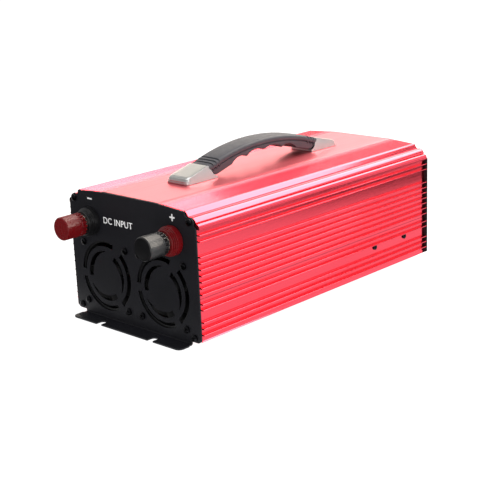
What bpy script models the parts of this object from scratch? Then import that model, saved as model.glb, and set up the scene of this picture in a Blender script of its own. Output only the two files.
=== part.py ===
"""Box-shaped power inverter: a finned aluminium housing in two halves, closed by two sheet-metal end plates.

The front end plate carries two cooling fans and two screw-down battery terminals, the rear one two mains
outlets, a rocker switch and two lamps. A fixed carrying handle stands on the top. Inside are the power board
and its parts. X is to the right as seen from the front, Y runs from the front to the rear, and Z is up.
Z = 0 is the underside of the mounting flanges. Lengths are in metres.
"""

import math

import bmesh
import bpy
from mathutils import Matrix, Vector

# Overall sizes. FRONT is the front face of the front end plate, which centres the whole along Y.
FRONT = -0.16535
SHEET = 0.0016
GAP = 0.0003
HOUSING_LENGTH = 0.3464
FLANGE_REACH = 0.0170
FLANGE_HALF = 0.0760
HOUSING_START = FRONT + SHEET + GAP
HOUSING_END = HOUSING_START + HOUSING_LENGTH
REAR = HOUSING_END + GAP + SHEET

# Housing section.
WALL = 0.0022
SIDE_X = 0.0869
FIN_X = 0.0904
TOP_Z = 0.1283
BOTTOM_Z = 0.0050
JOINT_Z = 0.0462
UPPER_FINS = (0.1057, 0.1000, 0.0856, 0.0798, 0.0740, 0.0682, 0.0624, 0.0566, 0.0506)
LOWER_FINS = (0.0417, 0.0361, 0.0243, 0.0183, 0.0123)
PLATEAU_X = 0.0373
SHOULDER_FALL = 0.0700
RIB_PITCH = 0.0058
RIB_COUNT = 6
SCREW_HIGH = (0.0799, 0.1172)
SCREW_LOW = (0.0795, 0.0082)

# Fans: 70 mm frames with fixing holes on a 60 mm square.
FAN_X = 0.0396
FAN_Z = 0.0446
FAN_SIZE = 0.0700
FAN_HOLES = 0.0600
FAN_DEPTH = 0.0250
DUCT_RADIUS = 0.0332
BLADE_COUNT = 7

# Battery terminals.
TERMINAL_X = 0.0570
TERMINAL_Z = 0.0970
STUD_RADIUS = 0.0039
KNOB_END = 0.0365

# Handle, as (distance behind the front face, height).
HANDLE_START = 0.0620
HANDLE_MIDDLE = 0.1751
HANDLE_HALF_WIDTH = 0.0135

SIDE_SCREW_Z = 0.0312
SIDE_SCREW_DEPTHS = (0.2587, 0.3106)


def clear_scene():
    for item in list(bpy.data.objects):
        bpy.data.objects.remove(item, do_unlink=True)


def material(name, colour, roughness, metallic=0.0):
    made = bpy.data.materials.new(name)
    made.use_nodes = True
    shader = made.node_tree.nodes["Principled BSDF"]
    shader.inputs["Base Color"].default_value = (*colour, 1.0)
    shader.inputs["Roughness"].default_value = roughness
    shader.inputs["Metallic"].default_value = metallic
    made.diffuse_color = (*colour, 1.0)
    return made


def finish(shape, name, slot, origin=(0.0, 0.0, 0.0), smooth=False):
    """Turns a bmesh into a named object whose origin is at the given point."""
    bmesh.ops.remove_doubles(shape, verts=shape.verts, dist=1e-7)
    bmesh.ops.recalc_face_normals(shape, faces=shape.faces)
    bmesh.ops.translate(shape, verts=shape.verts, vec=-Vector(origin))
    mesh = bpy.data.meshes.new(name)
    for face in shape.faces:
        face.smooth = smooth
    shape.to_mesh(mesh)
    shape.free()
    mesh.materials.append(slot)
    made = bpy.data.objects.new(name, mesh)
    made.location = origin
    bpy.context.scene.collection.objects.link(made)
    if smooth:
        mesh.set_sharp_from_angle(angle=math.radians(35))
    return made


def add_prism(shape, outline, start, end, axis="y"):
    """Extrudes a closed outline along one axis. The outline is (x, z) for y, (y, z) for x and (x, y) for z."""
    place = {
        "y": lambda u, v, w: (u, w, v),
        "x": lambda u, v, w: (w, u, v),
        "z": lambda u, v, w: (u, v, w),
    }[axis]
    near = [shape.verts.new(place(u, v, start)) for u, v in outline]
    far = [shape.verts.new(place(u, v, end)) for u, v in outline]
    shape.faces.new(near)
    shape.faces.new(list(reversed(far)))
    for index in range(len(outline)):
        after = (index + 1) % len(outline)
        shape.faces.new((near[index], far[index], far[after], near[after]))


def add_block(shape, low, high):
    outline = ((low[0], low[1]), (high[0], low[1]), (high[0], high[1]), (low[0], high[1]))
    add_prism(shape, outline, low[2], high[2], "z")


def add_lathe(shape, profile, centre, steps=32, axis="y", closed=False):
    """Turns (radius, position along the axis) points about an axis through the centre."""
    turn = {
        "y": lambda r, t, a: (centre[0] + r * math.cos(a), centre[1] + t, centre[2] + r * math.sin(a)),
        "z": lambda r, t, a: (centre[0] + r * math.cos(a), centre[1] + r * math.sin(a), centre[2] + t),
        "x": lambda r, t, a: (centre[0] + t, centre[1] + r * math.cos(a), centre[2] + r * math.sin(a)),
    }[axis]
    rings = []
    for radius, along in profile:
        if radius == 0.0:
            rings.append([shape.verts.new(turn(0.0, along, 0.0))] * steps)
        else:
            angles = [2 * math.pi * step / steps for step in range(steps)]
            rings.append([shape.verts.new(turn(radius, along, angle)) for angle in angles])
    pairs = list(zip(rings, rings[1:]))
    if closed:
        pairs.append((rings[-1], rings[0]))
    for first, second in pairs:
        for step in range(steps):
            after = (step + 1) % steps
            corners = (first[step], first[after], second[after], second[step])
            shape.faces.new(list(dict.fromkeys(corners)))


def prism(name, slot, outline, start, end, axis="y", **options):
    shape = bmesh.new()
    add_prism(shape, outline, start, end, axis)
    return finish(shape, name, slot, **options)


def block(name, slot, low, high, **options):
    shape = bmesh.new()
    add_block(shape, low, high)
    return finish(shape, name, slot, **options)


def lathe(name, slot, profile, centre, steps=32, axis="y", closed=False, **options):
    shape = bmesh.new()
    add_lathe(shape, profile, centre, steps, axis, closed)
    return finish(shape, name, slot, **options)


def combine(target, helper, operation):
    """Adds an exact Boolean with a helper that is itself left out of the model."""
    helper.hide_render = True
    helper.display_type = "WIRE"
    joined = target.modifiers.new(helper.name, "BOOLEAN")
    joined.operation = operation
    joined.solver = "EXACT"
    joined.object = helper


def cut(target, helper):
    combine(target, helper, "DIFFERENCE")


def union(target, helper):
    combine(target, helper, "UNION")


def bevel(target, width, segments=2):
    rounded = target.modifiers.new("bevel", "BEVEL")
    rounded.width = width
    rounded.segments = segments
    rounded.limit_method = "ANGLE"
    rounded.angle_limit = math.radians(40)
    return rounded


def arc(centre, radius, start, end, count):
    """Points on an arc given in degrees, both ends included."""
    step = (end - start) / (count - 1)
    angles = [math.radians(start + step * index) for index in range(count)]
    return [(centre[0] + radius * math.cos(a), centre[1] + radius * math.sin(a)) for a in angles]


def mirrored(half):
    """Completes an outline that is given for x >= 0, from the bottom to the top."""
    other = [(-x, z) for x, z in reversed(half) if x != 0.0]
    return list(half) + other


clear_scene()

RED_ANODISED = material("red_anodised_aluminium", (0.62, 0.010, 0.030), 0.28, 1.0)
BLACK_COAT = material("black_powder_coat", (0.018, 0.018, 0.020), 0.50)
BLACK_PLASTIC = material("black_plastic", (0.015, 0.015, 0.016), 0.35)
RED_PLASTIC = material("red_plastic", (0.42, 0.010, 0.018), 0.30)
GRIP_RUBBER = material("grip_soft_plastic", (0.030, 0.030, 0.033), 0.55)
SATIN_METAL = material("satin_zinc", (0.62, 0.62, 0.61), 0.30, 1.0)
NICKEL = material("nickel_plate", (0.66, 0.64, 0.60), 0.25, 1.0)
BLACK_SCREW = material("black_zinc_screw", (0.025, 0.025, 0.027), 0.35, 0.8)
BOARD = material("green_board", (0.020, 0.110, 0.045), 0.45)
FERRITE = material("ferrite", (0.045, 0.045, 0.048), 0.60)
COPPER = material("copper", (0.72, 0.33, 0.16), 0.30, 1.0)
CAPACITOR_SLEEVE = material("capacitor_sleeve", (0.020, 0.030, 0.090), 0.40)
GREEN_LENS = material("green_lens", (0.030, 0.350, 0.060), 0.15)
RED_LENS = material("red_lens", (0.450, 0.020, 0.020), 0.15)


# Housing halves. Each side wall is a flat sheet with thin horizontal fins, and the two halves meet
# between two fins, where a tongue on the lower one stands behind the upper one.


def fin(height):
    """One side fin as outline points, from its lower root to its upper root."""
    return [
        (SIDE_X, height - 0.00075),
        (FIN_X - 0.0003, height - 0.00050),
        (FIN_X, height - 0.00015),
        (FIN_X, height + 0.00015),
        (FIN_X - 0.0003, height + 0.00050),
        (SIDE_X, height + 0.00075),
    ]


def shoulder_z(x):
    return TOP_Z - 0.0004 - (x - PLATEAU_X) * SHOULDER_FALL


def shoulder():
    """The ribbed slope from the end ridge in to the flat middle of the top."""
    points = []
    for index in reversed(range(RIB_COUNT)):
        x = PLATEAU_X + 0.0046 + RIB_PITCH * index
        z = shoulder_z(x)
        points += [(x + 0.0006, z), (x + 0.0003, z + 0.0006), (x - 0.0003, z + 0.0006), (x - 0.0006, z)]
    points += [(PLATEAU_X + 0.0005, TOP_Z - 0.0004), (PLATEAU_X, TOP_Z)]
    return points


def screw_lobe():
    """The rounded ridge that holds the upper screw, from the top fin to the end ridge of the shoulder."""
    return [
        (SIDE_X, 0.1108),
        (FIN_X - 0.0002, 0.1112),
        (FIN_X, 0.1116),
        (FIN_X - 0.0003, 0.1121),
        (0.0871, 0.1162),
        (0.0864, 0.1167),
        (0.0868, 0.1173),
        (0.0863, 0.1187),
        (0.0853, 0.1201),
        (0.0838, 0.1211),
        (0.0822, 0.1214),
        (0.0768, 0.1210),
        (0.0754, 0.1214),
        (0.0747, 0.1226),
        (0.0745, 0.1248),
        (0.0738, 0.1258),
        (0.0728, 0.1259),
        (0.0722, 0.1252),
    ]


def upper_outline():
    joint = JOINT_Z + GAP / 2
    half = [(SIDE_X - WALL, joint), (SIDE_X, joint)]
    for height in sorted(UPPER_FINS):
        half += fin(height)
    half += screw_lobe() + shoulder()
    inner = [
        (0.0360, TOP_Z - WALL),
        (0.0700, 0.1230),
        (0.0735, 0.1195),
        (0.0745, 0.1130),
        (0.0790, 0.1110),
        (SIDE_X - WALL, 0.1095),
    ]
    left = [(-x, z) for x, z in reversed(half)]
    left_inner = [(-x, z) for x, z in reversed(inner)]
    return half + left + left_inner + inner


def lower_outline():
    joint = JOINT_Z - GAP / 2
    tongue = SIDE_X - WALL - GAP
    half = [(0.0, BOTTOM_Z), (0.0866, BOTTOM_Z), (0.0878, 0.0056), (SIDE_X, 0.0066)]
    for height in sorted(LOWER_FINS):
        half += fin(height)
    half += [
        (SIDE_X, joint),
        (tongue, joint),
        (tongue, joint + 0.0060),
        (tongue - 0.0018, joint + 0.0060),
        (tongue - 0.0018, joint - 0.0040),
        (SIDE_X - WALL, joint - 0.0070),
        (SIDE_X - WALL, 0.0140),
        (0.0800, 0.0128),
        (0.0752, 0.0110),
        (0.0740, BOTTOM_Z + WALL),
    ]
    return mirrored(half)


upper_housing = prism("upper_housing", RED_ANODISED, upper_outline(), HOUSING_START, HOUSING_END)
lower_housing = prism("lower_housing", RED_ANODISED, lower_outline(), HOUSING_START, HOUSING_END)


def screw_holes(name, place, depth):
    """Blind screw holes at both ends of one housing half, left and right."""
    shape = bmesh.new()
    for side in (-1, 1):
        for low, high in ((HOUSING_START - 0.001, HOUSING_START + depth), (HOUSING_END - depth, HOUSING_END + 0.001)):
            profile = ((0.0, low), (0.0021, low), (0.0021, high), (0.0, high))
            add_lathe(shape, profile, (side * place[0], 0.0, place[1]), 16)
    return finish(shape, name, RED_ANODISED)


def side_holes():
    shape = bmesh.new()
    for side in (-1, 1):
        for depth in SIDE_SCREW_DEPTHS:
            profile = ((0.0, 0.080), (0.0022, 0.080), (0.0022, 0.092), (0.0, 0.092))
            flipped = [(radius, side * along) for radius, along in profile]
            add_lathe(shape, flipped, (0.0, FRONT + depth, SIDE_SCREW_Z), 16, "x")
    return finish(shape, "side_screw_holes", RED_ANODISED)


cut(upper_housing, screw_holes("upper_screw_holes", SCREW_HIGH, 0.014))
cut(lower_housing, screw_holes("lower_screw_holes", SCREW_LOW, 0.014))
cut(lower_housing, side_holes())


# End plates: one bent sheet each, with a mounting flange turned outwards at the foot.


def plate_outline(edge_x):
    half = [(0.0, 0.0039), (0.0838, 0.0039), (edge_x, 0.0066), (edge_x, 0.1118), (0.0857, 0.1124)]
    half += arc((0.0799, 0.1161), 0.0050, -22, 118, 9)
    half += [(0.0757, 0.1213), (0.0745, 0.1226), (0.0721, 0.1240), (0.0718, 0.1255), (PLATEAU_X, 0.1280)]
    return mirrored(half)


def flange_outline(half_width, reach, corner):
    """The flange seen from above, its outer edge at v = 0 and its root at v = reach."""
    right = [(half_width, reach)] + arc((half_width - corner, corner), corner, 0, -90, 7)
    return right + [(-x, v) for x, v in reversed(right)]


def end_plate(name, face, outward, edge_x):
    """A plate whose outer face is at y = face, with outward = -1 at the front and 1 at the rear."""
    plate = prism(name, BLACK_COAT, plate_outline(edge_x), face, face - outward * SHEET)
    bend = 0.0022
    corner = (face + outward * (bend - SHEET), bend)
    section = [(face - outward * SHEET, 0.0080), (face, 0.0080)]
    section += [(face, bend)]
    section += [(face + outward * 0.0002, bend - 0.0004), (face + outward * 0.0006, SHEET)]
    section += [(face + outward * 0.0080, SHEET), (face + outward * 0.0080, 0.0)]
    section += [(corner[0], 0.0)]
    section += [(corner[0] - outward * bend * 0.7071, corner[1] - bend * 0.7071)]
    section += [(corner[0] - outward * bend, bend)]
    fold = prism(name + "_fold", BLACK_COAT, section, -FLANGE_HALF + 0.0012, FLANGE_HALF - 0.0012, "x")
    union(plate, fold)
    outline = []
    for x, v in flange_outline(FLANGE_HALF, FLANGE_REACH - 0.0040, 0.0055):
        outline.append((x, face + outward * (FLANGE_REACH - v)))
    foot = prism(name + "_foot", BLACK_COAT, outline, 0.0, SHEET, "z")
    union(plate, foot)
    slots = bmesh.new()
    for side in (-1, 1):
        shape = [(0.0036, 0.0010), (0.0036, -0.0050)] + arc((0.0, -0.0050), 0.0036, 0, -180, 9)[1:]
        shape += [(-0.0036, 0.0010)]
        outline = []
        for x, v in shape:
            outline.append((side * 0.0365 + x, face + outward * (FLANGE_REACH + v)))
        add_prism(slots, outline, -0.001, SHEET + 0.001, "z")
    cut(plate, finish(slots, name + "_slots", BLACK_COAT))
    return plate


def through_holes(shape, places, radius, face):
    """Adds round cutters through a plate, each at an (x, z) place."""
    for x, z in places:
        low = face - 0.004
        high = face + 0.004
        add_lathe(shape, ((0.0, low), (radius, low), (radius, high), (0.0, high)), (x, 0.0, z), 14)


def corner_places():
    return [(side * x, z) for side in (-1, 1) for x, z in (SCREW_HIGH, SCREW_LOW)]


def fan_screw_places():
    half = FAN_HOLES / 2
    places = []
    for side in (-1, 1):
        for across in (-1, 1):
            for up in (-1, 1):
                places.append((side * FAN_X + across * half, FAN_Z + up * half))
    return places


def ring_slot(centre_x, inner, outer, start, end, taper=False):
    """An arc slot. With taper, it narrows to a point towards its end angle."""
    count = 11
    outer_side = arc((centre_x, FAN_Z), outer, start, end, count)
    inner_side = []
    for index in range(count):
        part = index / (count - 1)
        angle = math.radians(start + (end - start) * part)
        radius = inner
        if taper:
            radius += (outer - inner - 0.0005) * max(0.0, (part - 0.35) / 0.65) ** 1.6
        inner_side.append((centre_x + radius * math.cos(angle), FAN_Z + radius * math.sin(angle)))
    return outer_side + list(reversed(inner_side))


def grille_cutter():
    """Both grilles: an outer ring of three slots, and an inner ring of three that each taper clockwise."""
    shape = bmesh.new()
    for side in (-1, 1):
        centre_x = side * FAN_X
        for start, end in ((69, 176), (190, 296), (310, 408)):
            outline = ring_slot(centre_x, 0.0300, 0.0345, start, end)
            add_prism(shape, outline, FRONT - 0.004, FRONT + 0.004)
        for start, end in ((188, 89), (59, -32), (306, 208)):
            outline = ring_slot(centre_x, 0.0198, 0.0245, start, end, True)
            add_prism(shape, outline, FRONT - 0.004, FRONT + 0.004)
    return finish(shape, "front_grilles", BLACK_COAT)


front_plate = end_plate("front_plate", FRONT, -1, 0.0875)
cut(front_plate, grille_cutter())
front_holes = bmesh.new()
through_holes(front_holes, corner_places() + fan_screw_places(), 0.0021, FRONT)
through_holes(front_holes, [(side * TERMINAL_X, TERMINAL_Z) for side in (-1, 1)], 0.0085, FRONT)
cut(front_plate, finish(front_holes, "front_holes", BLACK_COAT))

OUTLET_X = (0.0150, 0.0590)
OUTLET_Z = 0.0880
OUTLET_HALF = 0.0185
SWITCH_X = -0.0520
SWITCH_Z = 0.0880
SWITCH_HALF = (0.0105, 0.0145)
LAMP_PLACES = {"power_lamp": (-0.0280, 0.0940), "fault_lamp": (-0.0280, 0.0800)}


def rear_cutter():
    """Openings in the rear plate for the outlets, the switch and the lamps, and two blocks of vent slots."""
    shape = bmesh.new()
    low = REAR - 0.004
    high = REAR + 0.004
    for x in OUTLET_X:
        half = OUTLET_HALF + GAP
        add_block(shape, (x - half, low, OUTLET_Z - half), (x + half, high, OUTLET_Z + half))
    half_x, half_z = (half + GAP for half in SWITCH_HALF)
    add_block(shape, (SWITCH_X - half_x, low, SWITCH_Z - half_z), (SWITCH_X + half_x, high, SWITCH_Z + half_z))
    through_holes(shape, LAMP_PLACES.values(), 0.0029, REAR)
    through_holes(shape, corner_places(), 0.0021, REAR)
    for side in (-1, 1):
        for row in range(7):
            z = 0.0200 + 0.0062 * row
            add_block(shape, (side * 0.0400 - 0.0260, low, z), (side * 0.0400 + 0.0260, high, z + 0.0030))
    return finish(shape, "rear_openings", BLACK_COAT)


rear_plate = end_plate("rear_plate", REAR, 1, FIN_X - 0.0002)
cut(rear_plate, rear_cutter())


# Screws. A pan head stands just clear of the sheet, and the shank is a plain cylinder.


def screw(name, x, z, face, outward, length):
    head = 0.0034
    profile = [
        (0.0, 0.0023),
        (head * 0.75, 0.0020),
        (head, 0.0009),
        (head, 0.0002),
        (0.0017, 0.0002),
        (0.0017, -length),
        (0.0, -length),
    ]
    turned = [(radius, outward * along) for radius, along in profile]
    return lathe(name, BLACK_SCREW, turned, (x, face, z), 14, smooth=True)


for end, face, outward in (("front", FRONT, -1), ("rear", REAR, 1)):
    for side_name, side in (("left", -1), ("right", 1)):
        for level, (x, z) in (("upper", SCREW_HIGH), ("lower", SCREW_LOW)):
            screw(f"{end}_screw_{level}_{side_name}", side * x, z, face, outward, 0.0120)

for number, (x, z) in enumerate(fan_screw_places(), start=1):
    screw(f"fan_screw_{number}", x, z, FRONT, -1, 0.0110)


def side_screw(name, side, depth):
    head = 0.0035
    profile = [
        (0.0, 0.0026),
        (head * 0.6, 0.0025),
        (head, 0.0016),
        (head, 0.0002),
        (0.0018, 0.0002),
        (0.0018, -0.0080),
        (0.0, -0.0080),
    ]
    turned = [(radius, side * (SIDE_X + along)) for radius, along in profile]
    return lathe(name, BLACK_SCREW, turned, (0.0, FRONT + depth, SIDE_SCREW_Z), 16, "x", smooth=True)


for side_name, side in (("left", -1), ("right", 1)):
    for number, depth in enumerate(SIDE_SCREW_DEPTHS, start=1):
        side_screw(f"side_screw_{side_name}_{number}", side, depth)


# Fans. The rotor turns in the duct, in front of a motor seat that three struts hold at the rear.

FAN_START = FRONT + SHEET + GAP
FAN_END = FAN_START + FAN_DEPTH


def fan_frame(name, centre_x):
    half = FAN_SIZE / 2
    corner = 0.0040
    outline = []
    for sign_x, sign_z, start in ((1, 1, 0), (-1, 1, 90), (-1, -1, 180), (1, -1, 270)):
        centre = (centre_x + sign_x * (half - corner), FAN_Z + sign_z * (half - corner))
        outline += arc(centre, corner, start, start + 90, 5)
    frame = prism(name, BLACK_PLASTIC, outline, FAN_START, FAN_END)
    openings = bmesh.new()
    low = FAN_START - 0.001
    high = FAN_END + 0.001
    duct = ((0.0, low), (DUCT_RADIUS, low), (DUCT_RADIUS, high), (0.0, high))
    add_lathe(openings, duct, (centre_x, 0.0, FAN_Z), 48)
    hole = ((0.0, low), (0.0021, low), (0.0021, high), (0.0, high))
    for across in (-1, 1):
        for up in (-1, 1):
            place = (centre_x + across * FAN_HOLES / 2, 0.0, FAN_Z + up * FAN_HOLES / 2)
            add_lathe(openings, hole, place, 12)
    cut(frame, finish(openings, name + "_openings", BLACK_PLASTIC))
    seat = bmesh.new()
    motor = (
        (0.0, FAN_END - 0.0025),
        (0.0040, FAN_END - 0.0025),
        (0.0040, FAN_END - 0.0030),
        (0.0145, FAN_END - 0.0030),
        (0.0145, FAN_END),
        (0.0, FAN_END),
    )
    add_lathe(seat, motor, (centre_x, 0.0, FAN_Z), 24)
    disc = finish(seat, name + "_motor_seat", BLACK_PLASTIC)
    for index in range(3):
        angle = math.radians(30 + 120 * index)
        strut = bmesh.new()
        add_block(strut, (0.0120, FAN_END - 0.0028, -0.0020), (DUCT_RADIUS + 0.0010, FAN_END - 0.0002, 0.0020))
        turn = Matrix.Translation((centre_x, 0.0, FAN_Z)) @ Matrix.Rotation(-angle, 4, "Y")
        bmesh.ops.transform(strut, matrix=turn, verts=strut.verts)
        union(frame, finish(strut, f"{name}_strut_{index + 1}", BLACK_PLASTIC))
    union(frame, disc)
    return frame


def fan_rotor(name, centre_x):
    """A cup-shaped hub with swept blades. Its origin is on the axis it turns about."""
    origin = (centre_x, FAN_START, FAN_Z)
    front = FAN_START + 0.0015
    back = FAN_END - 0.0040
    hub = lathe(
        name,
        BLACK_PLASTIC,
        ((0.0, front), (0.0150, front), (0.0162, front + 0.0012), (0.0162, back), (0.0, back)),
        (centre_x, 0.0, FAN_Z),
        28,
        origin=origin,
        smooth=True,
    )
    blades = bmesh.new()
    for index in range(BLADE_COUNT):
        turned = 2 * math.pi * index / BLADE_COUNT
        front_side = []
        back_side = []
        for radius, sweep in ((0.0152, 0.0), (0.0210, 0.10), (0.0270, 0.22), (0.0320, 0.34)):
            lead = turned + sweep
            trail = turned + sweep + 0.52
            for angle, y, row in ((lead, front + 0.0015, front_side), (trail, back - 0.0010, back_side)):
                row.append((radius, angle, y))
        rows = []
        for shift in (0.0, 0.0011):
            points = []
            for radius, angle, y in front_side + list(reversed(back_side)):
                x = centre_x + radius * math.cos(angle)
                z = FAN_Z + radius * math.sin(angle)
                points.append(blades.verts.new((x, y + shift, z)))
            rows.append(points)
        size = len(rows[0])
        for points, flip in ((rows[0], False), (rows[1], True)):
            for step in range(3):
                quad = [points[step], points[step + 1], points[size - 2 - step], points[size - 1 - step]]
                blades.faces.new(list(reversed(quad)) if flip else quad)
        for step in range(size):
            after = (step + 1) % size
            blades.faces.new((rows[0][step], rows[1][step], rows[1][after], rows[0][after]))
    union(hub, finish(blades, name + "_blades", BLACK_PLASTIC))
    return hub


for side_name, side in (("left", -1), ("right", 1)):
    fan_frame(f"fan_frame_{side_name}", side * FAN_X)
    fan_rotor(f"fan_rotor_{side_name}", side * FAN_X)


# Battery terminals: an insulating base on the plate, a stud through it, and a loose washer and a knob on it.


def terminal(name, x, base_slot, knob_slot):
    centre = (x, FRONT, TERMINAL_Z)
    bore = STUD_RADIUS + 0.0003
    base = [
        (bore, -0.0112),
        (0.0116, -0.0112),
        (0.0120, -0.0105),
        (0.0117, -0.0099),
        (0.0127, -0.0094),
        (0.0124, -0.0088),
        (0.0134, -0.0083),
        (0.0140, -0.0074),
        (0.0140, -0.0003),
        (0.0080, -0.0003),
        (0.0080, 0.0036),
        (bore, 0.0036),
    ]
    lathe(name + "_base", base_slot, base, centre, 36, closed=True, smooth=True)
    stud = [
        (0.0, -0.0300),
        (STUD_RADIUS - 0.0006, -0.0300),
        (STUD_RADIUS, -0.0294),
        (STUD_RADIUS, 0.0040),
        (0.0065, 0.0040),
        (0.0065, 0.0085),
        (STUD_RADIUS, 0.0085),
        (STUD_RADIUS, 0.0180),
        (0.0, 0.0180),
    ]
    lathe(name + "_stud", NICKEL, stud, centre, 24)
    washer = [(STUD_RADIUS + 0.0003, -0.0129), (0.0105, -0.0129), (0.0105, -0.0115), (STUD_RADIUS + 0.0003, -0.0115)]
    lathe(name + "_washer", NICKEL, washer, centre, 32, closed=True, origin=centre, smooth=True)
    knob = [
        (0.0, -KNOB_END),
        (0.0103, -KNOB_END),
        (0.0113, -KNOB_END + 0.0010),
        (0.0113, -0.0190),
        (0.0106, -0.0184),
        (0.0106, -0.0180),
        (0.0100, -0.0180),
        (0.0100, -0.0132),
        (STUD_RADIUS + 0.0002, -0.0132),
        (STUD_RADIUS + 0.0002, -0.0310),
        (0.0, -0.0310),
    ]
    body = lathe(name + "_knob", knob_slot, knob, centre, 40, origin=centre, smooth=True)
    outline = []
    for tooth in range(18):
        for offset, radius in ((-0.30, 0.0104), (-0.18, 0.0112), (0.18, 0.0112), (0.30, 0.0104)):
            angle = 2 * math.pi * (tooth + offset) / 18
            outline.append((x + radius * math.cos(angle), TERMINAL_Z + radius * math.sin(angle)))
    collar = prism(name + "_collar", knob_slot, outline, FRONT - 0.0181, FRONT - 0.0135)
    collar_bore = ((0.0, -0.020), (0.0070, -0.020), (0.0070, -0.012), (0.0, -0.012))
    cut(collar, lathe(name + "_collar_bore", knob_slot, collar_bore, centre, 30))
    union(body, collar)
    return body


terminal("negative", -TERMINAL_X, BLACK_PLASTIC, RED_PLASTIC)
terminal("positive", TERMINAL_X, RED_PLASTIC, BLACK_PLASTIC)


# Carrying handle: two metal end brackets, and a low arched grip with finger ridges under it.

BRACKET_PROFILE = (
    (0.0622, 0.1286),
    (0.0620, 0.1305),
    (0.0626, 0.1306),
    (0.0625, 0.1322),
    (0.0632, 0.1323),
    (0.0636, 0.1345),
    (0.0672, 0.1362),
    (0.0930, 0.1420),
    (0.0940, 0.1416),
    (0.0972, 0.1362),
    (0.0990, 0.1330),
    (0.1020, 0.1312),
    (0.1040, 0.1306),
    (0.1040, 0.1286),
)


def handle_bracket(name, from_front):
    outline = []
    for along, z in BRACKET_PROFILE:
        place = along if from_front else 2 * HANDLE_MIDDLE - along
        outline.append((FRONT + place, z))
    made = prism(name, SATIN_METAL, outline, -HANDLE_HALF_WIDTH, HANDLE_HALF_WIDTH, "x")
    bevel(made, 0.0005, 1)
    return made


handle_bracket("handle_bracket_front", True)
handle_bracket("handle_bracket_rear", False)


def grip_outline():
    """The grip's side view from its front end to the middle, then its mirror image."""
    top = [(0.0943, 0.1420)]
    for index in range(3):
        start = 0.0985 + 0.0042 * index
        rise = 0.1420 + (start - 0.0943) * 0.255
        top += [(start, rise), (start + 0.0005, rise - 0.0008), (start + 0.0013, rise - 0.0006)]
        top += [(start + 0.0018, rise + 0.0005)]
    top += [(0.1200, 0.1487), (0.1290, 0.1508), (0.1380, 0.1527), (0.1480, 0.1543), (0.1580, 0.1553)]
    top += [(0.1670, 0.1558)]
    ends = [(0.1068, 0.1321), (0.1040, 0.1314), (0.1016, 0.1322), (0.0994, 0.1336), (0.0976, 0.1366)]
    tips = ((0.1216, 0.1371), (0.1466, 0.1419), (0.1751, 0.1443))
    under = []
    for (first_y, first_z), (last_y, last_z) in zip(tips, tips[1:]):
        for step in range(8):
            part = step / 8
            rise = 0.0040 * math.sin(math.pi * part) ** 0.7 if step else 0.0
            under.append((first_y + (last_y - first_y) * part, first_z + (last_z - first_z) * part + rise))
    under.append(tips[-1])
    lower = list(reversed(ends)) + under
    right = [(2 * HANDLE_MIDDLE - along, z) for along, z in reversed(lower[:-1])]
    top_right = [(2 * HANDLE_MIDDLE - along, z) for along, z in top]
    return lower + right + top_right + list(reversed(top))


grip = prism(
    "handle_grip",
    GRIP_RUBBER,
    [(FRONT + along, z) for along, z in grip_outline()],
    -0.0132,
    0.0132,
    "x",
)


# Rear panel fittings.


def outlet(name, x):
    """A square outlet block with a flat face, two pin slots and a round earth hole."""
    half = OUTLET_HALF
    body = block(name, BLACK_PLASTIC, (x - half, REAR - 0.0160, OUTLET_Z - half), (x + half, REAR + 0.0010, OUTLET_Z + half))
    rim = half + 0.0020
    outline = ((x - rim, OUTLET_Z - rim), (x + rim, OUTLET_Z - rim), (x + rim, OUTLET_Z + rim), (x - rim, OUTLET_Z + rim))
    union(body, prism(name + "_rim", BLACK_PLASTIC, outline, REAR + 0.0003, REAR + 0.0028))
    pins = bmesh.new()
    for side in (-1, 1):
        centre = x + side * 0.0063
        add_block(pins, (centre - 0.0010, REAR - 0.012, OUTLET_Z - 0.0020), (centre + 0.0010, REAR + 0.004, OUTLET_Z + 0.0060))
    earth = ((0.0, REAR - 0.012), (0.0018, REAR - 0.012), (0.0018, REAR + 0.004), (0.0, REAR + 0.004))
    add_lathe(pins, earth, (x, 0.0, OUTLET_Z - 0.0080), 20)
    cut(body, finish(pins, name + "_pin_holes", BLACK_PLASTIC))
    return body


for side_name, x in zip(("left", "right"), OUTLET_X):
    outlet(f"outlet_{side_name}", x)

half_x, half_z = SWITCH_HALF
switch_frame = block(
    "switch_frame",
    BLACK_PLASTIC,
    (SWITCH_X - half_x, REAR - 0.0160, SWITCH_Z - half_z),
    (SWITCH_X + half_x, REAR + 0.0010, SWITCH_Z + half_z),
)
rim_outline = (
    (SWITCH_X - half_x - 0.0015, SWITCH_Z - half_z - 0.0015),
    (SWITCH_X + half_x + 0.0015, SWITCH_Z - half_z - 0.0015),
    (SWITCH_X + half_x + 0.0015, SWITCH_Z + half_z + 0.0015),
    (SWITCH_X - half_x - 0.0015, SWITCH_Z + half_z + 0.0015),
)
union(switch_frame, prism("switch_rim", BLACK_PLASTIC, rim_outline, REAR + 0.0003, REAR + 0.0022))
cut(
    switch_frame,
    block(
        "switch_well",
        BLACK_PLASTIC,
        (SWITCH_X - 0.0083, REAR - 0.0100, SWITCH_Z - 0.0122),
        (SWITCH_X + 0.0083, REAR + 0.0040, SWITCH_Z + 0.0122),
    ),
)

SWITCH_PIVOT = (SWITCH_X, REAR - 0.0040, SWITCH_Z)
SWITCH_TILT = math.radians(9)


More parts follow.
